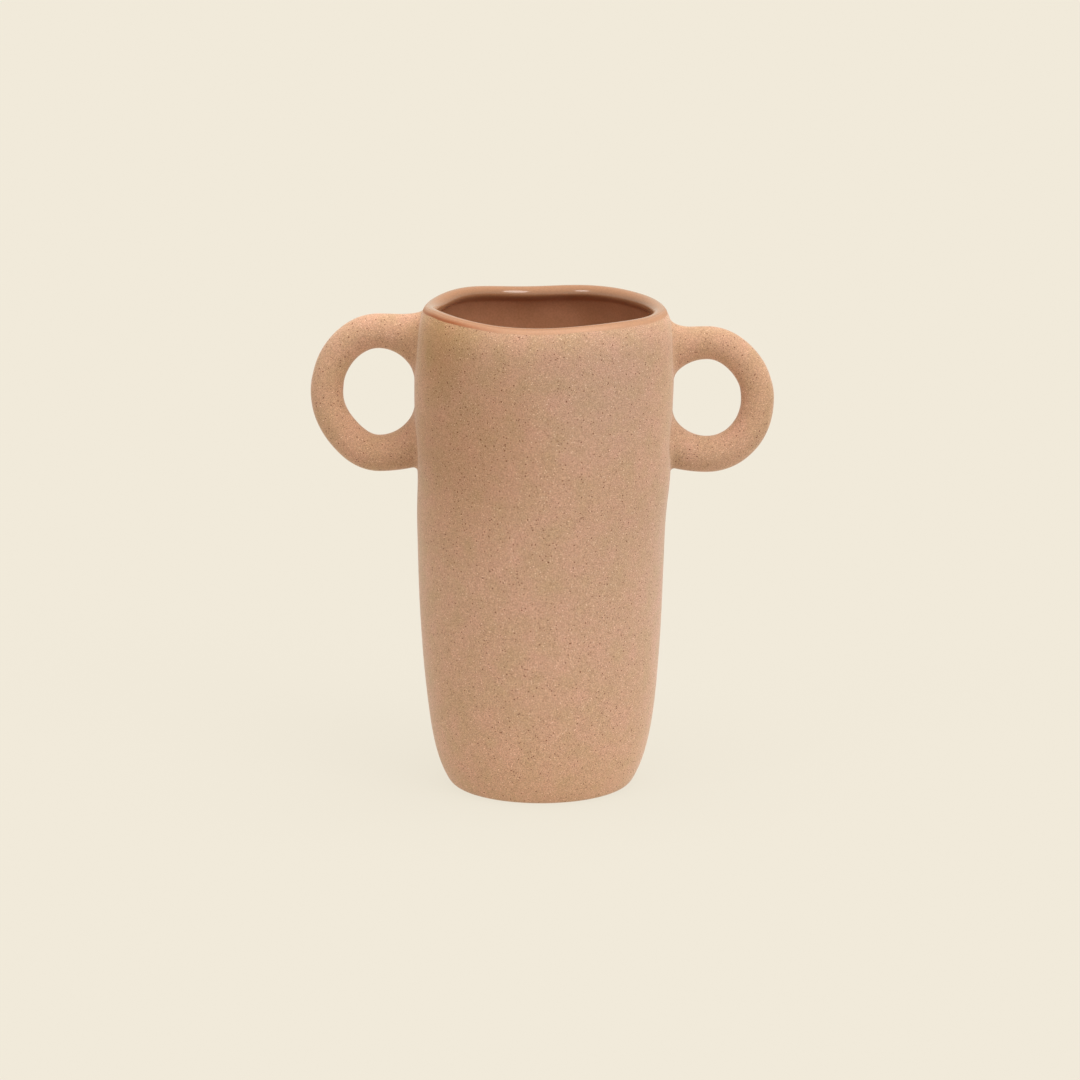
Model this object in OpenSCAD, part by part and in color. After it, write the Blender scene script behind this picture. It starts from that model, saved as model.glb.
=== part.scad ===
// Hand-built stoneware vase with two ring handles.
// The bare clay outside is matt; a glossy glaze lines the inside and folds over the rim.
// Millimetres, +Z up, origin at the centre of the foot, handles along X, front towards -Y.

/* [Body] */
// Mean height of the glazed rim above the table
height = 200.6; // [150:0.1:280]
// Radius that the wall swells towards at the shoulder
belly_r = 54.2; // [48:0.1:70]
// How much the wall narrows from the shoulder down to the foot
taper = 10.3; // [4:0.1:16]
// Height over which that narrowing dies away
taper_len = 84; // [50:1:120]
// How much the heel tucks in at the foot
heel_tuck = 6.7; // [3:0.1:10]
// Height over which the heel's tuck dies away
heel_len = 12; // [6:0.1:16]
// How much the mouth closes in at the crest
mouth_tuck = 4.6; // [1:0.1:6]
// Height over which the mouth's closing dies away
mouth_len = 7; // [5:0.1:14]
// Sideways lean of the mouth's centre
lean = 1.8; // [0:0.1:4]
// How far the wall sways aside between the shoulder and the foot
sway = 0.9; // [0:0.1:2]
// Depth of that sway below the crest
sway_depth = 70; // [50:1:100]
// Height over which the sway dies away, up and down
sway_len = 12; // [8:0.5:40]
// Thickness of the clay wall
wall_t = 4.6; // [3:0.1:7]

/* [Rim] */
// Thickness of the clay lip
lip_t = 5.8; // [4:0.1:8]
// Height of the lip's rounding, outside
lip_h = 1.9; // [1.5:0.1:5]
// Height of the lip's bead, inside
bead_h = 2.8; // [2:0.1:6]
// Depth over which the wall draws back under the bead
undercut_len = 3; // [2:0.5:20]
// Depth below the crest at which the rim's wave has died away
wave_depth = 45; // [20:1:80]

/* [Glaze] */
// Thickness of the glaze
glaze_t = 0.5; // [0.3:0.05:1]
// How far the glaze runs down past the lip's rounding, outside
glaze_skirt = 0.3; // [0.3:0.1:2]

/* [Base] */
// Thickness of the floor slab
floor_t = 8; // [6:0.1:14]
// Height of the floor seam above the table, outside
seam_h = 2.5; // [1:0.1:3]
// Width of the foot's rounding, which ends at the seam
foot_round = 2; // [0.3:0.1:4]
// Height of the round hollow between the floor and the wall, inside
hollow_h = 12; // [6:0.5:25]

/* [Left handle] */
// Width of the hole, from the wall outwards
left_hole_w = 29.1; // [22:0.1:40]
// Height of the hole
left_hole_h = 36.4; // [28:0.1:50]
// Diameter of the coil of clay at its upper root
left_upper_d = 14.1; // [10:0.1:18]
// Diameter of the coil at the outside of the ring
left_side_d = 13.5; // [10:0.1:18]
// Diameter of the coil at its lower root
left_lower_d = 14.9; // [10:0.1:18]
// Bare wall between the glaze and the top of the ring
left_drop = 1.8; // [1:0.1:20]
// How far the ring's upper outside quarter is pressed in
left_upper_press = 0.3; // [-2:0.1:2]
// How far the ring's lower outside quarter is pressed in
left_lower_press = 1; // [-2:0.1:2]
// Bare wall from the middle of the hole up to the upper root
left_upper_bare = 7.4; // [3:0.1:12]
// Bare wall from the middle of the hole down to the lower root
left_lower_bare = 7.2; // [3:0.1:12]

/* [Right handle] */
// Width of the hole, from the wall outwards
right_hole_w = 27.8; // [22:0.1:40]
// Height of the hole
right_hole_h = 32.3; // [28:0.1:50]
// Diameter of the coil of clay at its upper root
right_upper_d = 13.4; // [10:0.1:18]
// Diameter of the coil at the outside of the ring
right_side_d = 13.7; // [10:0.1:18]
// Diameter of the coil at its lower root
right_lower_d = 14.8; // [10:0.1:18]
// Bare wall between the glaze and the top of the ring
right_drop = 6.1; // [1:0.1:20]
// How far the ring's upper outside quarter is pressed in
right_upper_press = 0.6; // [-2:0.1:2]
// How far the ring's lower outside quarter is pressed in
right_lower_press = -0.2; // [-2:0.1:2]
// Bare wall from the middle of the hole up to the upper root
right_upper_bare = 9.4; // [3:0.1:12]
// Bare wall from the middle of the hole down to the lower root
right_lower_bare = 6.2; // [3:0.1:12]

/* [Handle roots] */
// How much wider than its coil a root spreads, each side
root_spread_w = 2; // [0:0.1:5]
// How far an upper root's top dips towards the wall
upper_draw_h = 0.8; // [0:0.1:4]
// How far a lower root's underside rises towards the wall
lower_draw_h = 1.9; // [0:0.1:4]

/* [Slip joints] */
// Thickness of the slip between a root and the wall
slip_t = 0.8; // [0.5:0.1:1.5]
// Thickness of the slip in the floor seam
seam_t = 0.6; // [0.4:0.1:1.2]
// Length of the fillet on top of an upper root, along the handle
top_fillet_len = 8; // [2:0.1:10]
// Height of that fillet up the wall, where the bare wall leaves room for it
top_fillet_h = 4; // [2:0.1:10]
// Radius of the fillets at a root's front and back
side_fillet_r = 2.4; // [1.6:0.1:6]
// Radius of the fillets in the hole and under a lower root
small_fillet_r = 1.8; // [1.6:0.1:5]
// Clearance between pieces that are seated on each other
seat_gap = 0.1; // [0.05:0.01:0.2]

/* [Hidden] */

// Waves round the mouth: lobes, height in mm, direction of the first crest in degrees
rim_waves = [[1, 0.7, 144], [2, 0.3, -3], [3, 0.2, 56], [4, 0.5, 40], [5, 0.3, -5], [6, 0.13, 16]];
// Bulges of the mouth: lobes, depth in mm, direction of a bulge in degrees
mouth_bulges = [[2, 0.4, 0], [3, 0.6, 185]];
// Bulges of the wall: lobes, depth in mm, direction of a bulge at the foot, height of its full turn in mm
wall_bulges = [[2, 0.25, 90, 110], [3, 0.35, 16, 260], [5, 0.15, 54, 170]];
// Height over which the bulges grow from the round foot, in mm
bulge_rise = 60;

clay = "#C69A79";
slip = "#C39473";
glaze = "#B9764F";

// Share of the glaze's thickness at its thin lower edge
skirt_share = 0.3;
// Size of the middle ring on a root's flat end, as a share of the end
cap_share = 0.5;
// Power by which the points down the inside crowd towards the lip
bore_crowding = 1.5;

// Numbers of points: round the body, along each stretch of its section, and on the handles
round_steps = 60;
turned_steps = 96;
wall_steps = 16;
lip_steps = 3;
bead_steps = 4;
undercut_steps = 3;
bore_steps = 6;
hollow_steps = 4;
foot_steps = 4;
coil_sides = 24;
ring_steps = 18;
root_steps = 6;
fillet_steps = 5;

// Signs of the two sides and of a handle's two ends
left = -1;
right = 1;
upper = 1;
lower = -1;

// Sizes of each handle: side, hole width and height, drop, coil diameters, presses, bare wall
left_sizes = [left, left_hole_w, left_hole_h, left_drop, [left_upper_d, left_side_d, left_lower_d],
              [left_upper_press, left_lower_press], [left_upper_bare, left_lower_bare]];
right_sizes = [right, right_hole_w, right_hole_h, right_drop, [right_upper_d, right_side_d, right_lower_d],
               [right_upper_press, right_lower_press], [right_upper_bare, right_lower_bare]];

// The clay's own crest, under the glaze
crest = height - glaze_t;

function smooth(t) = let (u = max(0, min(1, t))) u * u * (3 - 2 * u);
function mix(a, b, t) = a + (b - a) * t;
function total(values, i = 0) = i < len(values) ? values[i] + total(values, i + 1) : 0;
function reversed(items) = [for (i = [len(items) - 1:-1:0]) items[i]];

// The outer wall: its radius and slope at a height, before the bulges and the rim's wave
function wall_r(z) = belly_r - taper * exp(-z / taper_len) - heel_tuck * exp(-z / heel_len)
    - mouth_tuck * exp((z - crest) / mouth_len);
function wall_slope(z) = taper / taper_len * exp(-z / taper_len) + heel_tuck / heel_len * exp(-z / heel_len)
    - mouth_tuck / mouth_len * exp((z - crest) / mouth_len);
function waves(rows, a) = total([for (w = rows) w[1] * cos(w[0] * (a - w[2]))]);
function turning_waves(rows, a, z) = total([for (w = rows) w[1] * cos(w[0] * (a - w[2]) - 360 * z / w[3])]);
function bulge(a, z) = exp((z - crest) / mouth_len) * waves(mouth_bulges, a)
    + smooth(z / bulge_rise) * turning_waves(wall_bulges, a, z);
function lift(a, z) = smooth((z - crest + wave_depth) / wave_depth) * waves(rim_waves, a);
function axis_x(z) = lean * pow(z / crest, 2) + sway * exp(-pow((z - crest + sway_depth) / sway_len, 2));

// A point of the turned section [radius, height], carried round to angle a
function place(a, p) = let (r = p[0] + bulge(a, p[1]))
    [axis_x(p[1]) + r * cos(a), r * sin(a), p[1] + lift(a, p[1])];
function hoop(p) = [for (i = [0:round_steps - 1]) place(360 * i / round_steps, p)];

// The wall's outer face on one side of the vase, at a distance y from the handles' plane
function side_angle(side, y, z) = side == right ? asin(y / wall_r(z)) : 180 - asin(y / wall_r(z));
function wall_x(side, y, z) = let (a = side_angle(side, y, z), flat_z = z - lift(a, z),
    r = wall_r(flat_z) + bulge(a, flat_z)) axis_x(flat_z) + side * sqrt(r * r - y * y);

// The floor seam is a 45 degree bevel; each line of it is moved up by its slip and clearance
seam_wall_t = seam_t + seat_gap;
function bevel_foot(t) = let (z = seam_h + t * sqrt(2) / (1 + wall_slope(seam_h))) [wall_r(z), z];
function bevel_head(t) = [wall_r(seam_h) + seam_h - floor_t + t * sqrt(2), floor_t];

// The lip is a quarter ellipse outside, from where the wall has its slope, and another for the bead inside
lip_a = lip_t / 2;
lip_z = crest - lip_h;
bead_z = crest - bead_h;
undercut_z = bead_z - undercut_len;
lip_from = atan(-wall_slope(lip_z) * lip_h / lip_a);
lip_edge_z = lip_z + lip_h * sin(lip_from);
lip_r = wall_r(lip_edge_z) - lip_a * cos(lip_from);
skirt_z = lip_edge_z - glaze_skirt;
hollow_top = floor_t + hollow_h;

function lip_point(a, high) = [lip_r + lip_a * cos(a), crest - high * (1 - sin(a))];
function bore_point(z) = [mix(lip_r - lip_a, wall_r(z) - wall_t, smooth((bead_z - z) / undercut_len)), z];
function hollow_point(i) = let (
    a = 90 * i / hollow_steps,
    top_r = bore_point(hollow_top)[0],
    foot_r = bevel_head(seam_wall_t)[0])
    [mix(foot_r, top_r, cos(a)), mix(hollow_top, floor_t, sin(a))];

// Points up the outer face, closest together at the heel and at the mouth
outer_face = [for (i = [0:wall_steps]) let (
    z = mix(bevel_foot(seam_wall_t)[1], skirt_z, (1 - cos(180 * i / wall_steps)) / 2)) [wall_r(z), z]];
// Points over the lip, down the inside and round the hollow to the floor, closest together under the lip
lining = concat(
    [[wall_r(skirt_z), skirt_z]],
    [for (i = [0:lip_steps]) lip_point(mix(lip_from, 90, i / lip_steps), lip_h)],
    [for (i = [1:bead_steps]) lip_point(mix(90, 180, i / bead_steps), bead_h)],
    [for (i = [1:undercut_steps]) bore_point(mix(bead_z, undercut_z, i / undercut_steps))],
    [for (i = [1:bore_steps]) let (down = pow(i / bore_steps, bore_crowding))
        bore_point(mix(undercut_z, hollow_top, down))],
    [for (i = [1:hollow_steps]) hollow_point(i)]);

// The glaze's free face: the lining moved off the clay, thin at its lower edge outside
function coat(i) = glaze_t * (i == 0 ? skirt_share : 1);
function off_clay(i) = let (
    last = len(lining) - 1,
    along = i == last ? [-1, 0] : lining[i + 1] - lining[max(0, i - 1)])
    lining[i] + coat(i) * [along[1], -along[0]] / norm(along);
glaze_face = [for (i = [0:len(lining) - 1]) off_clay(i)];

// A handle h is a row of sizes; these are its columns
function side(h) = h[0];
function hole_w(h) = h[1];
function hole_h(h) = h[2];
function drop(h) = h[3];
function coil_r(h, i) = h[4][i] / 2;
function press(h, end) = h[5][end == upper ? 0 : 1];
function bare(h, end) = h[6][end == upper ? 0 : 1];
function end_r(h, end) = coil_r(h, end == upper ? 0 : 2);
function reach(h) = hole_w(h) / 2;
function draw(end) = end == upper ? upper_draw_h : lower_draw_h;

// Where the handle sits: its top is a drop below the glaze, and its hole starts at the wall
function ring_top(h) = skirt_z + lift(side(h) == right ? 0 : 180, skirt_z) - drop(h);
function ring_z(h) = ring_top(h) - 2 * end_r(h, upper) - hole_h(h) / 2;
function wall_at(h) = wall_x(side(h), 0, ring_z(h));

// The coil's radius at t, which runs from the ring's top (0) round the outside to the bottom (1)
function ring_r(h, t) = let (a = end_r(h, upper), b = end_r(h, lower))
    mix(a, b, smooth(t)) + (coil_r(h, 1) - (a + b) / 2) * pow(sin(180 * t), 2);

// The round half of the ring: b turns round the coil from its outer edge
function ring_point(h, t, b) = let (
    q = 90 - 180 * t,
    end = t < 0.5 ? upper : lower,
    r = ring_r(h, t),
    w = reach(h) + coil_r(h, 1),
    high = hole_h(h) / 2 + end_r(h, end),
    out = [high * cos(q), w * sin(q)] / norm([high * cos(q), w * sin(q)]),
    off = r * cos(b) - press(h, end) * pow(sin(2 * q), 2))
    [wall_at(h) + side(h) * (reach(h) + w * cos(q) + out[0] * off), r * sin(b),
     ring_z(h) + high * sin(q) + out[1] * off];

// A root's middle, half height and half width at s, which runs from the ring (0) to the wall (1)
function root_section(h, end, s) = let (
    half = hole_h(h) / 2,
    corner_w = reach(h) / sqrt(1 - pow(bare(h, end) / half, 2)),
    out = half + 2 * end_r(h, end) - draw(end) * s * s,
    hole = half * sqrt(1 - pow(reach(h) * s / corner_w, 2)))
    [(out + hole) / 2, (out - hole) / 2, end_r(h, end) + root_spread_w * s * s];

// A point of a root: b turns round the section from its outer edge, part shrinks it and grow widens it
function root_point(h, end, s, b, part = 1, grow = 0) = let (
    c = root_section(h, end, s),
    n = [c[1] * sin(b), c[2] * cos(b)] / norm([c[1] * sin(b), c[2] * cos(b)]),
    y = part * c[2] * sin(b) + grow * n[0],
    z = ring_z(h) + end * (c[0] + part * c[1] * cos(b) + grow * n[1]))
    [wall_at(h) + side(h) * reach(h) * (1 - s) + s * s * (wall_x(side(h), y, z) - wall_at(h)), y, z];
function off_wall(h, t) = 1 - t / reach(h);
// Rings of a handle turn one way throughout; those of a slip joint turn with the end they are on
function turns(way) = [for (i = [0:coil_sides - 1]) way * 360 * i / coil_sides];
function root_ring(h, end, way, t, part = 1, grow = 0) =
    [for (b = turns(way)) root_point(h, end, off_wall(h, t), b, part, grow)];

// The fillet round a root: its length along the handle and its height along the wall.
// The top of an upper root has its own, and what is left of the bare wall above it limits its height
function bare_top(h) = drop(h) + upper_draw_h - 2 * seat_gap;
function top_fillet(end) = end == upper ? [top_fillet_len, top_fillet_h] : [small_fillet_r, small_fillet_r];
function fillet_sizes(h, end, b) = let (
    edge = pow(max(0, cos(b)), 2),
    hole = pow(max(0, -cos(b)), 2),
    size = edge * top_fillet(end) + (hole * small_fillet_r + pow(sin(b), 2) * side_fillet_r) * [1, 1])
    [max(size[0], slip_t), end == upper ? min(size[1], mix(size[1], bare_top(h), edge)) : size[1]];
function fillet_ring(h, end, way, a) = [for (b = turns(way)) let (f = fillet_sizes(h, end, b))
    root_point(h, end, off_wall(h, seat_gap + f[0] * (1 - cos(a))), b, 1, mix(seat_gap, f[1], 1 - sin(a)))];

// Triangles between ring i and ring j of n points each, and from a pole to a ring
function band(i, j, n, backed) = [for (k = [0:n - 1]) let (m = (k + 1) % n, a = i * n, b = j * n)
    each backed
        ? [[a + k, b + k, b + m], [a + k, b + m, a + m]]
        : [[a + k, b + k, a + m], [a + m, b + k, b + m]]];
function fan(pole, i, n, turn) = [for (k = [0:n - 1]) let (m = (k + 1) % n)
    turn > 0 ? [pole, i * n + k, i * n + m] : [pole, i * n + m, i * n + k]];

// A closed skin through rings of points; two poles close its ends, or it runs round to its first ring.
// A backed skin splits its squares along the other diagonal, so that it lies flat on the skin behind it
module skin(rings, poles = [], backed = false) {
    n = len(rings[0]);
    count = len(rings);
    points = concat([for (r = rings) each r], poles);
    sides = [for (i = [0:count - 2]) each band(i, i + 1, n, backed)];
    ends = len(poles) == 2
        ? concat(fan(count * n, 0, n, 1), fan(count * n + 1, count - 1, n, -1))
        : band(count - 1, 0, n, backed);
    polyhedron(points, concat(sides, ends));
}

// The foot's rounding is a curve that leaves the table flat and meets the wall in the wall's own slope
module base_slab() {
    edge = bevel_foot(0);
    corner = [edge[0] - edge[1] * wall_slope(edge[1]), 0];
    flat = corner - [foot_round, 0];
    rounding = [for (i = [0:foot_steps]) let (t = i / foot_steps)
        mix(mix(flat, corner, t), mix(corner, edge, t), t)];
    color(clay) rotate_extrude($fn = turned_steps)
        polygon(concat([[0, 0]], rounding, [bevel_head(0), [0, floor_t]]));
}

module base_slip() {
    color(slip) rotate_extrude($fn = turned_steps)
        polygon([bevel_foot(0), bevel_foot(seam_t), bevel_head(seam_t), bevel_head(0)]);
}

module body_wall() {
    color(clay) skin([for (p = concat(outer_face, [for (i = [1:len(lining) - 1]) lining[i]])) hoop(p)]);
}

module inner_glaze() {
    color(glaze) skin([for (p = concat(reversed(lining), glaze_face)) hoop(p)],
        [[0, 0, floor_t], [0, 0, floor_t + glaze_t]], backed = true);
}

module handle(h) {
    way = -side(h);
    starts = [for (i = [0:root_steps - 1]) mix(slip_t, reach(h), i / root_steps)];
    ends = [root_point(h, upper, off_wall(h, slip_t), 0, 0), root_point(h, lower, off_wall(h, slip_t), 0, 0)];
    color(clay) skin(concat(
        [root_ring(h, upper, way, slip_t, cap_share)],
        [for (t = starts) root_ring(h, upper, way, t)],
        [for (i = [0:ring_steps]) [for (b = turns(way)) ring_point(h, i / ring_steps, b)]],
        [for (t = reversed(starts)) root_ring(h, lower, way, t)],
        [root_ring(h, lower, way, slip_t, cap_share)]), ends);
}

// The slip under a root, with the fillet that is smoothed round it
module slip_joint(h, end) {
    way = -side(h) * end;
    top = slip_t - seat_gap;
    poles = [root_point(h, end, off_wall(h, seat_gap), 0, 0), root_point(h, end, off_wall(h, top), 0, 0)];
    color(slip) skin(concat(
        [root_ring(h, end, way, seat_gap, cap_share), root_ring(h, end, way, seat_gap)],
        [for (i = [0:fillet_steps]) fillet_ring(h, end, way, 90 * i / fillet_steps)],
        [root_ring(h, end, way, top, 1, seat_gap), root_ring(h, end, way, top, cap_share)]), poles);
}

base_slab();
base_slip();
body_wall();
inner_glaze();
handle(left_sizes);  // left_handle
handle(right_sizes);  // right_handle
slip_joint(left_sizes, upper);  // left_upper_slip
slip_joint(left_sizes, lower);  // left_lower_slip
slip_joint(right_sizes, upper);  // right_upper_slip
slip_joint(right_sizes, lower);  // right_lower_slip
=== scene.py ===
"""A hand-built stoneware vase with two ring handles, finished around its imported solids.

The formulas of the solids are repeated here in millimetres, at a finer pitch and with the small unevenness
of hand work, and turned into metres when a mesh is made. The bare clay outside is matt and sandy; the glaze
inside and over the rim is glossy.
"""

from collections import namedtuple

import bpy
import numpy as np
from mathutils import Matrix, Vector


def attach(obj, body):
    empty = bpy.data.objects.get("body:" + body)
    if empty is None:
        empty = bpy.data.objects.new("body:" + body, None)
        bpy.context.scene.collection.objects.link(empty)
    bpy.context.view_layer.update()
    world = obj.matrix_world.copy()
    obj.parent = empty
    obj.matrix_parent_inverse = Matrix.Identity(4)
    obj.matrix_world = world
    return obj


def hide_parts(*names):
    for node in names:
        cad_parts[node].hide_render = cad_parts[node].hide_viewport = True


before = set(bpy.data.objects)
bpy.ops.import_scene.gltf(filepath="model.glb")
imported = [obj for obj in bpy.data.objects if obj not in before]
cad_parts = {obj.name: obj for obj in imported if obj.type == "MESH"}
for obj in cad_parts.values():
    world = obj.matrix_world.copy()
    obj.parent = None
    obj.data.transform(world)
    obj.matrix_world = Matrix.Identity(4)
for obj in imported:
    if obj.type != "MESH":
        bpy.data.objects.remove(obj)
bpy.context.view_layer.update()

MM = 0.001

# Body, rim, glaze and base, in millimetres
HEIGHT = 200.6
BELLY_R = 54.2
TAPER = 10.3
TAPER_LEN = 84
HEEL_TUCK = 6.7
HEEL_LEN = 12
MOUTH_TUCK = 4.6
MOUTH_LEN = 7
LEAN = 1.8
SWAY = 0.9
SWAY_DEPTH = 70
SWAY_LEN = 12
WALL_T = 4.6
LIP_T = 5.8
LIP_H = 1.9
BEAD_H = 2.8
UNDERCUT_LEN = 3
WAVE_DEPTH = 45
GLAZE_T = 0.5
GLAZE_SKIRT = 0.3
GLAZE_FEATHER_LEN = 3.2
FLOOR_T = 8
SEAM_H = 2.5
SEAM_T = 0.7
FOOT_ROUND = 2
HOLLOW_H = 12
CREST = HEIGHT - GLAZE_T

# Handle roots and slip joints, in millimetres
ROOT_SPREAD_W = 2
UPPER_DRAW_H = 0.8
LOWER_DRAW_H = 1.9
SLIP_T = 0.8
TOP_FILLET_LEN = 8
TOP_FILLET_H = 4
SIDE_FILLET_R = 2.4
SMALL_FILLET_R = 1.8
SEAT_GAP = 0.1
FEATHER_T = 0.015
# The ring of points inside a flat end, as a share of the end's size
CAP_SHARE = 0.5

# Waves round the mouth: lobes, height in mm, direction of the first crest in degrees
RIM_WAVES = [(1, 0.7, 144), (2, 0.3, -3), (3, 0.2, 56), (4, 0.5, 40), (5, 0.3, -5), (6, 0.13, 16)]
# Bulges of the mouth: lobes, depth in mm, direction of a bulge in degrees
MOUTH_BULGES = [(2, 0.4, 0), (3, 0.6, 185)]
# Bulges of the wall: lobes, depth in mm, direction of a bulge at the foot, height of its full turn in mm
WALL_BULGES = [(2, 0.25, 90, 110), (3, 0.35, 16, 260), (5, 0.15, 54, 170)]
BULGE_RISE = 60
# Shallow marks that fingers leave in the wall, in the same columns
FINGER_MARKS = [(9, 0.05, 20, 61), (-13, 0.04, 70, 43), (6, 0.05, 5, -87)]
# How the glaze's lower edge wanders: lobes, height in mm, direction of a crest in degrees
EDGE_WAVES = [(2, 0.1, 90), (7, 0.08, 80), (13, 0.06, 10), (22, 0.04, 140)]
# Unevenness of a rolled coil: waves along the ring, waves round the coil, depth in mm, start in degrees
ROLL_WAVES = [(3, 1, 0.12, 40), (5, -2, 0.08, 200), (8, 2, 0.05, 90)]

# The two handles: sizes in mm; press and bare have one value for each end
LEFT, RIGHT = -1, 1
UPPER, LOWER = 1, -1
Handle = namedtuple("Handle", "side hole_w hole_h drop upper_d side_d lower_d press bare")
LEFT_HANDLE = Handle(
    side=LEFT, hole_w=29.1, hole_h=36.4, drop=1.8, upper_d=14.1, side_d=13.5, lower_d=14.9,
    press={UPPER: 0.3, LOWER: 1}, bare={UPPER: 7.4, LOWER: 7.2})
RIGHT_HANDLE = Handle(
    side=RIGHT, hole_w=27.8, hole_h=32.3, drop=6.1, upper_d=13.4, side_d=13.7, lower_d=14.8,
    press={UPPER: 0.6, LOWER: -0.2}, bare={UPPER: 9.4, LOWER: 6.2})

# Numbers of points round and along the pieces
ROUND_STEPS = 320
WALL_STEPS = 240
SKIRT_STEPS = 10
LIP_STEPS = 40
BORE_STEPS = 120
BORE_CROWDING = 1.6
HOLLOW_STEPS = 20
FLAT_STEPS = 12
FOOT_STEPS = 12
COIL_SIDES = 112
RING_STEPS = 180
ROOT_STEPS = 30
FILLET_STEPS = 28
HUG_STEPS = 6

# The glaze's attribute with the distance from its lower edge, in millimetres
EDGE_DISTANCE = "edge_distance"

ANGLES = 360 * np.arange(ROUND_STEPS) / ROUND_STEPS
TURNS = 360 * np.arange(COIL_SIDES) / COIL_SIDES


def smooth(t):
    u = np.clip(t, 0, 1)
    return u * u * (3 - 2 * u)


def mix(a, b, t):
    return a + (b - a) * t


def cosd(a):
    return np.cos(np.radians(a))


def sind(a):
    return np.sin(np.radians(a))


def steps(count, first=0):
    """Shares from 0 to 1 in even steps, without the ones before the first."""
    return np.arange(first, count + 1) / count


def points(r, z):
    """Section points [radius, height]."""
    return np.stack(np.broadcast_arrays(r, z), axis=-1)


# The turned section of the body and the hand-made unevenness that is laid over it

def wall_r(z):
    heel = TAPER * np.exp(-z / TAPER_LEN) + HEEL_TUCK * np.exp(-z / HEEL_LEN)
    return BELLY_R - heel - MOUTH_TUCK * np.exp((z - CREST) / MOUTH_LEN)


def wall_slope(z):
    heel = TAPER / TAPER_LEN * np.exp(-z / TAPER_LEN) + HEEL_TUCK / HEEL_LEN * np.exp(-z / HEEL_LEN)
    return heel - MOUTH_TUCK / MOUTH_LEN * np.exp((z - CREST) / MOUTH_LEN)


def turning_waves(waves, a, z):
    return sum(depth * cosd(lobes * (a - start) - 360 * z / pitch) for lobes, depth, start, pitch in waves)


def flat_waves(waves, a):
    return sum(height * cosd(lobes * (a - start)) for lobes, height, start in waves)


def bulge(a, z):
    """How far the wall stands off its turned section; finger marks only press it inwards."""
    marks = turning_waves(FINGER_MARKS, a, z) - sum(mark[1] for mark in FINGER_MARKS)
    mouth = np.exp((z - CREST) / MOUTH_LEN) * flat_waves(MOUTH_BULGES, a)
    return mouth + smooth(z / BULGE_RISE) * (turning_waves(WALL_BULGES, a, z) + marks)


def lift(a, z):
    return smooth((z - CREST + WAVE_DEPTH) / WAVE_DEPTH) * flat_waves(RIM_WAVES, a)


def axis_x(z):
    return LEAN * (z / CREST) ** 2 + SWAY * np.exp(-((z - CREST + SWAY_DEPTH) / SWAY_LEN) ** 2)


def hoops(section):
    """The section's points carried round the vase: one ring of points for each row of the section."""
    r, z = section[..., 0], section[..., 1]
    out = r + bulge(ANGLES, z)
    return np.stack([axis_x(z) + out * cosd(ANGLES), out * sind(ANGLES), z + lift(ANGLES, z)], axis=-1)


def wall_x(side, y, z):
    """The wall's outer face on one side of the vase, at a distance y from the handles' plane."""
    turn = np.degrees(np.arcsin(y / wall_r(z)))
    a = turn if side == RIGHT else 180 - turn
    flat_z = z - lift(a, z)
    r = wall_r(flat_z) + bulge(a, flat_z)
    return axis_x(flat_z) + side * np.sqrt(r * r - y * y)


# The floor seam is a 45 degree bevel; its upper face lies the slip's thickness above its lower one

def bevel_foot(t):
    z = SEAM_H + t * np.sqrt(2) / (1 + wall_slope(SEAM_H))
    return points(wall_r(z), z)


def bevel_head(t):
    return points(wall_r(SEAM_H) + SEAM_H - FLOOR_T + t * np.sqrt(2), FLOOR_T)


# The lip is a quarter ellipse outside, from where the wall has its slope, and another for the bead inside
LIP_A = LIP_T / 2
LIP_Z = CREST - LIP_H
BEAD_Z = CREST - BEAD_H
LIP_FROM = np.degrees(np.arctan(-wall_slope(LIP_Z) * LIP_H / LIP_A))
LIP_EDGE_Z = LIP_Z + LIP_H * sind(LIP_FROM)
LIP_R = wall_r(LIP_EDGE_Z) - LIP_A * cosd(LIP_FROM)
SKIRT_Z = LIP_EDGE_Z - GLAZE_SKIRT
HOLLOW_TOP = FLOOR_T + HOLLOW_H


def bore_r(z):
    return mix(LIP_R - LIP_A, wall_r(z) - WALL_T, smooth((BEAD_Z - z) / UNDERCUT_LEN))


def inside():
    """Section points over the lip, down the inside and round the hollow to the floor."""
    turn = mix(LIP_FROM, 180, steps(LIP_STEPS))
    lip_h = np.where(turn < 90, LIP_H, BEAD_H)
    bore_z = mix(BEAD_Z, HOLLOW_TOP, steps(BORE_STEPS, first=1) ** BORE_CROWDING)
    fall = 90 * steps(HOLLOW_STEPS, first=1)
    foot_r = bevel_head(SEAM_T)[0]
    return np.concatenate([
        points(LIP_R + LIP_A * cosd(turn), CREST - lip_h * (1 - sind(turn))),
        points(bore_r(bore_z), bore_z),
        points(mix(foot_r, bore_r(HOLLOW_TOP), cosd(fall)), mix(HOLLOW_TOP, FLOOR_T, sind(fall)))])


def flat_disc(r, z):
    """Section points from a radius towards the middle of a flat disc, without the first and the middle."""
    return points(r * (1 - steps(FLAT_STEPS)[1:-1]), z)


def all_round(section):
    """The same section at every angle of the vase."""
    return np.repeat(section[:, None, :], ROUND_STEPS, axis=1)


# Meshes

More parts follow.
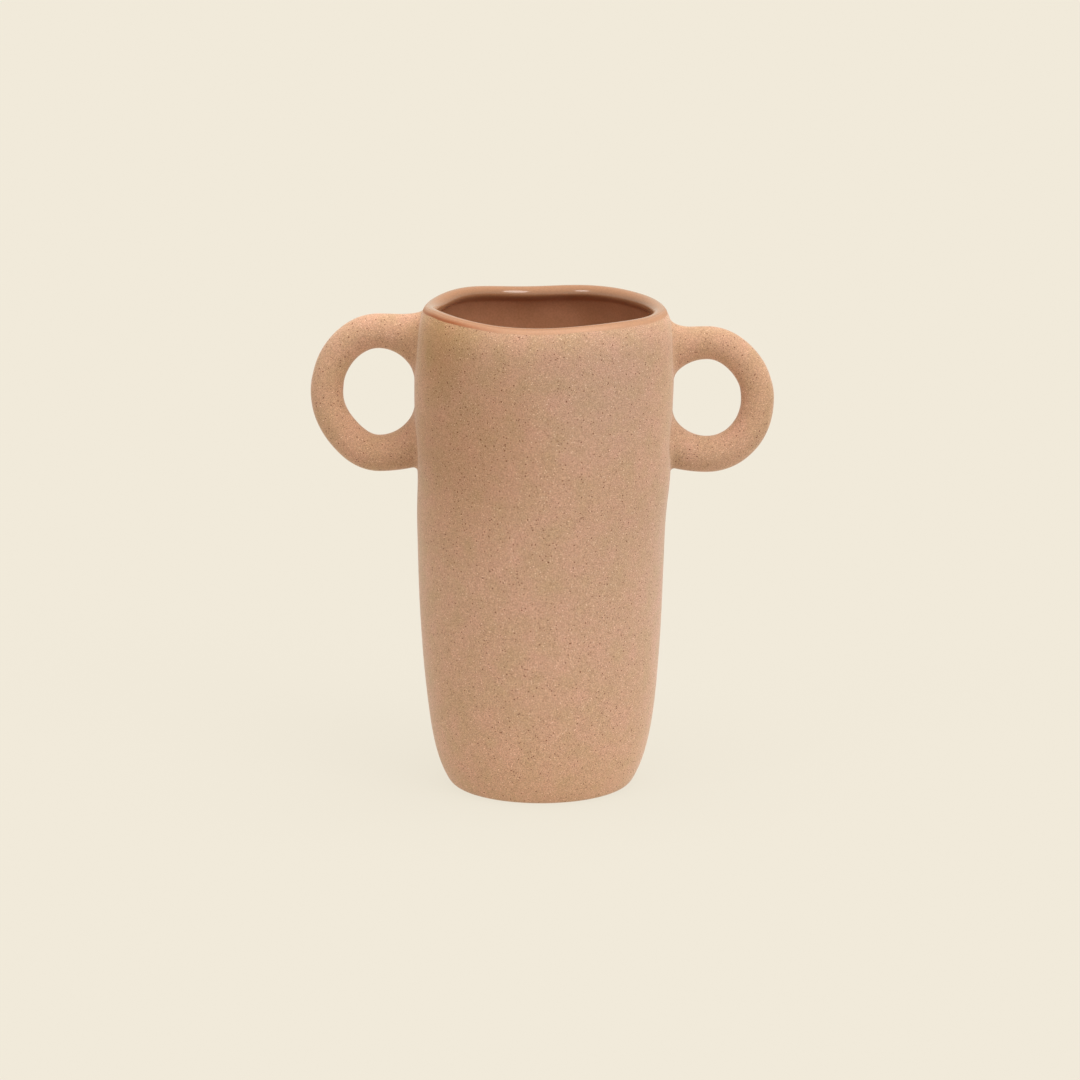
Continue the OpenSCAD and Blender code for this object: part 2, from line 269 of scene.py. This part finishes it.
def skin(name, rings, poles=(), sharp=()):
    """A closed mesh through rings of points; two poles close its ends, or it runs round to its first ring.

    The rings named in sharp keep a hard edge.
    """
    count, n = len(rings), len(rings[0])
    index = np.arange(count * n).reshape(count, n)
    rows = index if poles else np.vstack([index, index[:1]])
    ahead = np.roll(rows, -1, axis=1)
    quads = np.stack([rows[:-1], ahead[:-1], ahead[1:], rows[1:]], axis=-1).reshape(-1, 4).tolist()
    fans = []
    if poles:
        first, last = count * n, count * n + 1
        fans += [[first, ahead[0, k], rows[0, k]] for k in range(n)]
        fans += [[last, rows[-1, k], ahead[-1, k]] for k in range(n)]
    corners = np.concatenate([np.reshape(rings, (-1, 3)), np.reshape(list(poles), (-1, 3))])
    mesh = bpy.data.meshes.new(name)
    mesh.from_pydata((corners * MM).tolist(), [], quads + fans)
    mesh.polygons.foreach_set("use_smooth", [True] * len(mesh.polygons))
    ends = np.empty(2 * len(mesh.edges), dtype=int)
    mesh.edges.foreach_get("vertices", ends)
    ring_of = ends.reshape(-1, 2) // n
    hard = (ring_of[:, 0] == ring_of[:, 1]) & np.isin(ring_of[:, 0], [i % count for i in sharp])
    mesh.attributes.new("sharp_edge", "BOOLEAN", "EDGE").data.foreach_set("value", hard)
    mesh.update()
    piece = bpy.data.objects.new(name, mesh)
    bpy.context.scene.collection.objects.link(piece)
    return piece


def finish_node(node, rings, material, poles=(), sharp=()):
    """The finished piece that stands for a node of the frame."""
    piece = skin(node + "_finish", rings, poles, sharp)
    piece.data.materials.append(material)
    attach(piece, "root")
    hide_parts(node)
    return piece


def base_slab(material):
    edge, head = bevel_foot(0), bevel_head(0)
    corner = points(edge[0] - edge[1] * wall_slope(edge[1]), 0)
    flat = corner - [FOOT_ROUND, 0]
    t = steps(FOOT_STEPS)[:, None]
    rounding = mix(mix(flat, corner, t), mix(corner, edge, t), t)
    section = np.concatenate([flat_disc(flat[0], 0)[::-1], rounding, [head], flat_disc(head[0], FLOOR_T)])
    seam = FLAT_STEPS - 1 + FOOT_STEPS
    finish_node("base_slab", hoops(all_round(section)), material,
                poles=[(0, 0, 0), (0, 0, FLOOR_T)], sharp=[seam, seam + 1])


def base_slip(material):
    section = np.array([bevel_foot(0), bevel_foot(SEAM_T), bevel_head(SEAM_T), bevel_head(0)])
    finish_node("base_slip", hoops(all_round(section)), material, sharp=range(len(section)))


def body_wall(material):
    rise = (1 - cosd(180 * steps(WALL_STEPS))) / 2
    z = mix(bevel_foot(SEAM_T)[1], LIP_EDGE_Z, rise[:-1])
    section = np.concatenate([points(wall_r(z), z), inside()])
    finish_node("body_wall", hoops(all_round(section)), material, sharp=[0, -1])


def inner_glaze(material):
    """The coat of glaze: it starts at a thin, wandering edge outside and ends in the middle of the floor."""
    edge_z = SKIRT_Z + flat_waves(EDGE_WAVES, ANGLES)
    z = mix(edge_z, LIP_EDGE_Z, steps(SKIRT_STEPS)[:-1, None])
    lining = inside()
    clay = np.concatenate([
        points(wall_r(z), z), all_round(lining), all_round(flat_disc(lining[-1, 0], FLOOR_T))])
    along = np.gradient(clay, axis=0)
    off = np.stack([along[..., 1], -along[..., 0]], axis=-1) / np.linalg.norm(along, axis=-1, keepdims=True)
    hops = np.linalg.norm(np.diff(clay, axis=0, prepend=clay[:1]), axis=-1)
    from_edge = np.cumsum(hops, axis=0)
    coat = GLAZE_T * smooth(from_edge / GLAZE_FEATHER_LEN)
    face = clay + coat[..., None] * off
    rings = np.concatenate([hoops(clay)[::-1], hoops(face)[1:]])
    piece = finish_node("inner_glaze", rings, material,
                        poles=[(0, 0, FLOOR_T), (0, 0, FLOOR_T + GLAZE_T)], sharp=[len(clay) - 1])
    reach_in = np.concatenate([from_edge[::-1], from_edge[1:]]).ravel()
    reach_in = np.append(reach_in, [from_edge[-1, 0]] * 2)
    piece.data.attributes.new(EDGE_DISTANCE, "FLOAT", "POINT").data.foreach_set("value", reach_in)


# The handles: each is a ring of rolled clay with two roots that widen towards the wall

def end_r(h, end):
    return (h.upper_d if end == UPPER else h.lower_d) / 2


def reach(h):
    return h.hole_w / 2


def ring_z(h):
    top = SKIRT_Z + lift(0 if h.side == RIGHT else 180, SKIRT_Z) - h.drop
    return top - h.upper_d - h.hole_h / 2


def wall_at(h):
    return wall_x(h.side, 0, ring_z(h))


def ring_r(h, t):
    """The coil's radius at t, which runs from the ring's top (0) round the outside to the bottom (1)."""
    a, b = end_r(h, UPPER), end_r(h, LOWER)
    return mix(a, b, smooth(t)) + (h.side_d / 2 - (a + b) / 2) * sind(180 * t) ** 2


def rolled(t, b):
    """How far the coil falls short of its round section, fading out towards the roots."""
    waves = sum(d * (1 - cosd(360 * along * t + turns * b + start)) for along, turns, d, start in ROLL_WAVES)
    return waves / 2 * sind(180 * t) ** 2


def ring_points(h, t, b):
    """The round half of the ring at t: b turns round the coil from its outer edge."""
    q = 90 - 180 * t
    end = UPPER if t < 0.5 else LOWER
    r = ring_r(h, t) - rolled(t, b)
    w = reach(h) + h.side_d / 2
    high = h.hole_h / 2 + end_r(h, end)
    out = np.array([high * cosd(q), w * sind(q)])
    out /= np.linalg.norm(out)
    off = r * cosd(b) - h.press[end] * sind(2 * q) ** 2
    x = wall_at(h) + h.side * (reach(h) + w * cosd(q) + out[0] * off)
    return np.stack([x, r * sind(b), ring_z(h) + high * sind(q) + out[1] * off], axis=-1)


def root_section(h, end, s):
    """A root's middle, half height and half width at s, which runs from the ring (0) to the wall (1)."""
    half = h.hole_h / 2
    corner_w = reach(h) / np.sqrt(1 - (h.bare[end] / half) ** 2)
    draw = UPPER_DRAW_H if end == UPPER else LOWER_DRAW_H
    out = half + 2 * end_r(h, end) - draw * s * s
    hole = half * np.sqrt(1 - (reach(h) * s / corner_w) ** 2)
    return (out + hole) / 2, (out - hole) / 2, end_r(h, end) + ROOT_SPREAD_W * s * s


def root_points(h, end, off_wall, b, part=1, grow=0):
    """A root's section at a distance off the wall; part shrinks it and grow widens it."""
    s = 1 - off_wall / reach(h)
    middle, high, wide = root_section(h, end, s)
    side_n, top_n = high * sind(b), wide * cosd(b)
    length = np.hypot(side_n, top_n)
    y = part * wide * sind(b) + grow * side_n / length
    z = ring_z(h) + end * (middle + part * high * cosd(b) + grow * top_n / length)
    x = wall_at(h) + h.side * off_wall + s * s * (wall_x(h.side, y, z) - wall_at(h))
    return np.stack([x, y, z], axis=-1)


def root_pole(h, end, off_wall):
    return root_points(h, end, off_wall, 0, part=0)


def handle(node, h, material):
    b = -h.side * TURNS
    starts = mix(SLIP_T, reach(h), steps(ROOT_STEPS)[:-1])
    rings = [root_points(h, UPPER, SLIP_T, b, part=CAP_SHARE)]
    rings += [root_points(h, UPPER, off, b) for off in starts]
    rings += [ring_points(h, t, b) for t in steps(RING_STEPS)]
    rings += [root_points(h, LOWER, off, b) for off in starts[::-1]]
    rings += [root_points(h, LOWER, SLIP_T, b, part=CAP_SHARE)]
    finish_node(node, rings, material, sharp=[1, -2],
                poles=[root_pole(h, UPPER, SLIP_T), root_pole(h, LOWER, SLIP_T)])


# The slip under a root, with the fillet that is smoothed round it

def fillet_sizes(h, end, b):
    """The fillet's length along the handle and its height along the wall, round a root."""
    edge = np.maximum(0, cosd(b)) ** 2
    hole = np.maximum(0, -cosd(b)) ** 2
    rest = hole * SMALL_FILLET_R + sind(b) ** 2 * SIDE_FILLET_R
    if end == LOWER:
        return [np.maximum(edge * SMALL_FILLET_R + rest, SLIP_T), edge * SMALL_FILLET_R + rest]
    high = edge * TOP_FILLET_H + rest
    bare_top = h.drop + UPPER_DRAW_H - 2 * SEAT_GAP
    return [np.maximum(edge * TOP_FILLET_LEN + rest, SLIP_T), np.minimum(high, mix(high, bare_top, edge))]


def slip_joint(node, h, end, material):
    b = -h.side * end * TURNS
    length, high = fillet_sizes(h, end, b)
    hug = steps(HUG_STEPS)[1:-1]
    sweep = 90 * steps(FILLET_STEPS)
    rings = [root_points(h, end, 0, b, part=CAP_SHARE)]
    rings += [root_points(h, end, 0, b, grow=high * share) for share in steps(HUG_STEPS)[:-1]]
    first = len(rings)
    for a in sweep:
        off_wall = FEATHER_T + length * (1 - cosd(a))
        rings.append(root_points(h, end, off_wall, b, grow=FEATHER_T + high * (1 - sind(a))))
    last = len(rings) - 1
    rings += [root_points(h, end, mix(length, SLIP_T, share), b) for share in hug]
    rings += [root_points(h, end, SLIP_T, b), root_points(h, end, SLIP_T, b, part=CAP_SHARE)]
    finish_node(node, rings, material, sharp=[first, last, -2],
                poles=[root_pole(h, end, 0), root_pole(h, end, SLIP_T)])


# Materials

# Where a speck's edge starts and ends, in its radii
SPECK_CORE = 0.8
SPECK_EDGE = 1.1
# The brightness of a cell's colour that gives its speck no strength and full strength
SPECK_NONE = 0.2
SPECK_FULL = 0.8
# How far a patch made by near() has its full strength, as a share of its reach
PATCH_CORE = 0.25


def tone(red, green, blue):
    """A screen colour of 0 to 255 a channel, as linear light by the sRGB curve."""
    c = np.array([red, green, blue]) / 255
    light = np.where(c <= 0.04045, c / 12.92, ((c + 0.055) / 1.055) ** 2.4)
    return (*light.tolist(), 1)


class Nodes:
    """The node tree of a material or a world under construction."""

    def __init__(self, owner):
        owner.use_nodes = True
        self.tree = owner.node_tree

    def add(self, kind, inputs=(), **settings):
        node = self.tree.nodes.new(kind)
        for name, value in settings.items():
            setattr(node, name, value)
        self.put(node, inputs)
        return node

    def put(self, node, inputs):
        """Sets or links the node's inputs, which are named or numbered."""
        for key, value in dict(inputs).items():
            if isinstance(value, bpy.types.NodeSocket):
                self.tree.links.new(value, node.inputs[key])
            else:
                node.inputs[key].default_value = value

    def product(self, a, b):
        return self.add("ShaderNodeMath", {0: a, 1: b}, operation="MULTIPLY").outputs[0]

    def seen_directly(self):
        """1 where the camera, a reflection or a refraction looks, and 0 for the light on things."""
        rays = self.add("ShaderNodeLightPath").outputs
        seen = rays["Is Camera Ray"]
        for other in ("Is Glossy Ray", "Is Transmission Ray"):
            seen = self.add("ShaderNodeMath", {0: seen, 1: rays[other]}, operation="MAXIMUM").outputs[0]
        return seen

    def end_in(self, output, share, a, b):
        """Ends the tree in a mix of two shaders: a where the share is 0, and b where it is 1."""
        both = self.add("ShaderNodeMixShader", {0: share, 1: a.outputs[0], 2: b.outputs[0]})
        self.put(self.tree.nodes[output], {"Surface": both.outputs[0]})


class Shader(Nodes):
    """A material of the vase, with textures that are placed in the vase's own frame."""

    def __init__(self, name):
        self.material = bpy.data.materials.new(name)
        super().__init__(self.material)
        self.surface = self.tree.nodes["Principled BSDF"]
        self.place = self.add("ShaderNodeTexCoord").outputs["Object"]

    def noise(self, size_mm, detail):
        inputs = {"Vector": self.place, "Scale": 1 / (size_mm * MM), "Detail": detail}
        return self.add("ShaderNodeTexNoise", inputs).outputs["Fac"]

    def ramp(self, value, low, high, start=0.0, end=1.0):
        """A value carried from low..high to start..end, and held there beyond."""
        inputs = {"Value": value, "From Min": low, "From Max": high, "To Min": start, "To Max": end}
        return self.add("ShaderNodeMapRange", inputs).outputs["Result"]

    def cells(self, spacing_mm):
        """Cells round scattered points: the distance from the point in spacings, and each cell's colour."""
        inputs = {"Vector": self.place, "Scale": 1 / (spacing_mm * MM)}
        return self.add("ShaderNodeTexVoronoi", inputs).outputs

    def specks(self, spacing_mm, radius_mm):
        """Round specks scattered through the clay, 0 outside and each with a strength of its own inside."""
        cells = self.cells(spacing_mm)
        r = radius_mm / spacing_mm
        inside = self.ramp(cells["Distance"], SPECK_CORE * r, SPECK_EDGE * r, 1, 0)
        return self.product(inside, self.ramp(cells["Color"], SPECK_NONE, SPECK_FULL))

    def near(self, middle_mm, reach_mm):
        """1 close to a place, fading to 0 at the reach."""
        inputs = {0: self.place, 1: Vector(middle_mm) * MM}
        distance = self.add("ShaderNodeVectorMath", inputs, operation="DISTANCE").outputs["Value"]
        return self.ramp(distance, PATCH_CORE * reach_mm * MM, reach_mm * MM, 1, 0)

    def blend(self, share, a, b, kind="MIX"):
        node = self.add("ShaderNodeMix", {0: share, 6: a, 7: b}, data_type="RGBA", blend_type=kind)
        return node.outputs[2]

    def tinted(self, colour, factor, share=1):
        """A colour multiplied by a brightness or by another colour."""
        return self.blend(share, colour, factor, "MULTIPLY")

    def sum(self, a, b, share):
        """a plus a share of b."""
        return self.add("ShaderNodeMath", {0: b, 1: share, 2: a}, operation="MULTIPLY_ADD").outputs[0]


# Colours of the clay; the pairs are for its olive and its pink clouds
DARK_CLAY = (tone(140, 100, 60), tone(148, 103, 68))
LIGHT_CLAY = (tone(225, 191, 158), tone(235, 192, 167))
FRECKLE_BROWN = tone(118, 70, 28)
GRIT_CREAM = tone(255, 228, 198)
IRON_BROWN = tone(100, 42, 15)
SHEEN_TINT = (1, 0.98, 0.95, 1)
# How deep the iron specks lie, as a share of the grain's height
IRON_DEPTH = 0.4

# The clay's brightness by height: two heights in mm, and how it is multiplied below and above them.
# # The first two rows are painted floor light and painted shade; the last one makes the rim paler.
FADES_WITH_PAINTED_LIGHT = [
    # Painted floor light: paler close to the foot
    (0, 35, 1.08, 1),
    # Painted floor light low down and painted shade higher up: paler towards the foot, darker towards the top
    (0, 180, 1.05, 0.87),
    # Paler at the rim
    (188, 198, 1, 1.14),
]

# Patches of painted light and shade on the clay: place and reach in mm, and how each multiplies the colour
PAINTED_LIGHT_PATCHES = [
    # Painted shade with a warm painted bounce on the upper left: darker and warmer
    ((-50, -40, 150), 60, (0.9, 0.84, 0.77, 1)),
    ((-42, -27, 191), 28, (0.88, 0.84, 0.66, 1)),
    # Painted cool key light on the right: bluer
    ((25, -42, 178), 40, (1.03, 1.06, 1.15, 1)),
    ((45, -35, 90), 95, (1, 1.03, 1.1, 1)),
    # Painted light on the handles: paler
    ((-72, 0, 170), 45, (1.14, 1.13, 1.12, 1)),
    ((72, 0, 167), 45, (1.14, 1.12, 1.1, 1)),
]


def stoneware():
    """Matt buff clay with sandy grain, faint pink and olive clouds, dark iron specks and pale grit.

    It is paler towards the foot and darker towards the top, as painted floor light and painted shade, and
    paler at the rim.
    Over that lie painted shade on the upper left, painted cool key light on the right and painted light on
    the handles.
    """
    s = Shader("bare_stoneware")
    up = s.add("ShaderNodeSeparateXYZ", {0: s.place}).outputs["Z"]
    clouds = s.ramp(s.noise(size_mm=9, detail=4), low=0.3, high=0.7)
    grain = s.noise(size_mm=0.3, detail=0)
    sand = s.cells(spacing_mm=0.65)["Distance"]
    iron = s.specks(spacing_mm=1.5, radius_mm=0.285)
    freckles = s.specks(spacing_mm=1.05, radius_mm=0.16)
    grit = s.specks(spacing_mm=1.15, radius_mm=0.17)
    dark = s.blend(clouds, *DARK_CLAY)
    light = s.blend(clouds, *LIGHT_CLAY)
    colour = s.blend(s.ramp(grain, low=0.15, high=0.85, start=0.24, end=0.76), dark, light)
    colour = s.tinted(colour, s.ramp(sand, low=0.1, high=0.7, start=0.82, end=1.09))
    colour = s.blend(freckles, colour, FRECKLE_BROWN)
    colour = s.blend(grit, colour, GRIT_CREAM)
    colour = s.blend(iron, colour, IRON_BROWN)
    # Painted floor light towards the foot, painted shade towards the top, and a paler rim
    for low_mm, high_mm, below, above in FADES_WITH_PAINTED_LIGHT:
        colour = s.tinted(colour, s.ramp(up, low_mm * MM, high_mm * MM, below, above))
    # Patches of painted shade, painted cool key light and painted light on the handles
    for place, reach_mm, tint in PAINTED_LIGHT_PATCHES:
        colour = s.tinted(colour, tint, share=s.near(place, reach_mm))
    height = s.sum(grain, iron, -IRON_DEPTH)
    uneven = s.add("ShaderNodeBump", {"Strength": 0.4, "Distance": 0.15 * MM, "Height": height})
    s.put(s.surface, {"Base Color": colour, "Normal": uneven.outputs["Normal"], "Roughness": 0.8,
                      "Diffuse Roughness": 0.5, "Specular IOR Level": 0.3,
                      "Sheen Weight": 0.25, "Sheen Roughness": 0.35, "Sheen Tint": SHEEN_TINT})
    return s.material


# Colours of the glaze: the pair inside the vase, thin at its edge, over the rim, and where it ran together
INNER_GLAZE = (tone(186, 133, 98), tone(196, 141, 107))
THIN_GLAZE = tone(184, 138, 105)
RIM_GLAZE = tone(160, 112, 78)
AMBER_GLAZE = tone(146, 76, 24)
# Where the thin glaze ran together to an amber edge, and how far that reaches, in millimetres
AMBER_PLACE = (-40, -28, 196)
AMBER_REACH = 32


def gloss_glaze():
    """Glossy red-brown glaze; over the rim it runs out thin and pale, with amber at one place on its edge."""
    s = Shader("gloss_glaze")
    clouds = s.ramp(s.noise(size_mm=12, detail=2), low=0.35, high=0.65)
    grain = s.noise(size_mm=0.8, detail=2)
    swell = s.noise(size_mm=3.5, detail=1)
    from_edge = s.add("ShaderNodeAttribute", attribute_name=EDGE_DISTANCE).outputs["Fac"]
    inner = s.blend(clouds, *INNER_GLAZE)
    rim = s.blend(s.ramp(from_edge, low=0, high=2.5), THIN_GLAZE, RIM_GLAZE)
    amber = s.product(s.ramp(from_edge, low=0.7, high=2, start=1, end=0), s.near(AMBER_PLACE, AMBER_REACH))
    colour = s.blend(s.ramp(from_edge, low=7, high=12), rim, inner)
    colour = s.blend(amber, colour, AMBER_GLAZE)
    colour = s.tinted(colour, s.ramp(grain, low=0.3, high=0.7, start=0.92, end=1.08))
    uneven = s.add("ShaderNodeBump", {"Strength": 0.1, "Distance": 0.1 * MM, "Height": swell})
    roughness = s.ramp(from_edge, low=0.8, high=3, start=0.6, end=0.1)
    s.put(s.surface, {"Base Color": colour, "Normal": uneven.outputs["Normal"],
                      "Roughness": roughness, "Specular IOR Level": 1})
    return s.material


# Studio: a pale floor and sky, and three soft lights from above

# What the camera sees behind the vase
BACKGROUND = tone(235, 228, 212)
# The light of the sky, which shows the background itself where it is looked at
SKY_COLOUR = (1, 0.96, 0.89, 1)
SKY_STRENGTH = 0.4
# The floor glows in the background's colour; the share of it that is lit paper keeps the shadow in view
FLOOR_COLOUR = (0.35, 0.33, 0.3, 1)
FLOOR_GLOW = 0.65
FLOOR_SHARE = 0.15
FLOOR_SIZE_M = 30
# Name, direction towards the light, light on a facing surface, breadth in degrees, shown in reflections
LIGHTS = [
    ("key_light", (0.54, -0.57, 0.62), 0.27, 32, True),
    ("fill_light", (-0.57, -0.51, 0.65), 0.07, 15, True),
    ("top_light", (0.1, -0.1, 1), 1.15, 60, False),
]
# The camera's target, its distance and its rise in degrees, and the width of the frame at the target
CAMERA_TARGET = Vector((-0.34, 0, 102.3)) * MM
CAMERA_DISTANCE_M = 2.0
CAMERA_RISE = 13.29
FRAME_WIDTH_M = 0.4447


def sky():
    world = bpy.data.worlds.new("studio_sky")
    bpy.context.scene.world = world
    n = Nodes(world)
    light = n.tree.nodes["Background"]
    n.put(light, {"Color": SKY_COLOUR, "Strength": SKY_STRENGTH})
    shown = n.add("ShaderNodeBackground", {"Color": BACKGROUND})
    n.end_in("World Output", n.seen_directly(), light, shown)


def floor():
    half = FLOOR_SIZE_M / 2
    mesh = bpy.data.meshes.new("floor")
    corners = [(-half, -half, 0), (half, -half, 0), (half, half, 0), (-half, half, 0)]
    mesh.from_pydata(corners, [], [(0, 1, 2, 3)])
    plane = bpy.data.objects.new("floor", mesh)
    bpy.context.scene.collection.objects.link(plane)
    material = bpy.data.materials.new("pale_floor")
    n = Nodes(material)
    paper = n.tree.nodes["Principled BSDF"]
    n.put(paper, {"Base Color": FLOOR_COLOUR, "Roughness": 1, "Specular IOR Level": 0,
                  "Emission Color": BACKGROUND, "Emission Strength": FLOOR_GLOW})
    glow = n.add("ShaderNodeEmission", {"Color": BACKGROUND})
    n.end_in("Material Output", n.product(n.seen_directly(), 1 - FLOOR_SHARE), paper, glow)
    mesh.materials.append(material)


def lights():
    for name, towards, level, breadth, reflected in LIGHTS:
        lamp = bpy.data.lights.new(name, "SUN")
        lamp.energy = np.pi * level
        lamp.angle = np.radians(breadth)
        holder = bpy.data.objects.new(name, lamp)
        holder.rotation_euler = Vector(towards).to_track_quat("Z", "Y").to_euler()
        holder.visible_glossy = reflected
        bpy.context.scene.collection.objects.link(holder)


def camera():
    lens = bpy.data.cameras.new("camera")
    lens.lens = lens.sensor_width * CAMERA_DISTANCE_M / FRAME_WIDTH_M
    eye = bpy.data.objects.new("camera", lens)
    back = Vector((0, -cosd(CAMERA_RISE), sind(CAMERA_RISE)))
    eye.location = CAMERA_TARGET + CAMERA_DISTANCE_M * back
    eye.rotation_euler = back.to_track_quat("Z", "Y").to_euler()
    bpy.context.scene.collection.objects.link(eye)
    bpy.context.scene.camera = eye


camera()
sky()
floor()
lights()

clay = stoneware()
base_slab(clay)
base_slip(clay)
body_wall(clay)
inner_glaze(gloss_glaze())
for word, sizes in (("left", LEFT_HANDLE), ("right", RIGHT_HANDLE)):
    handle(word + "_handle", sizes, clay)
    slip_joint(word + "_upper_slip", sizes, UPPER, clay)
    slip_joint(word + "_lower_slip", sizes, LOWER, clay)

bpy.context.scene.view_settings.view_transform = "Standard"
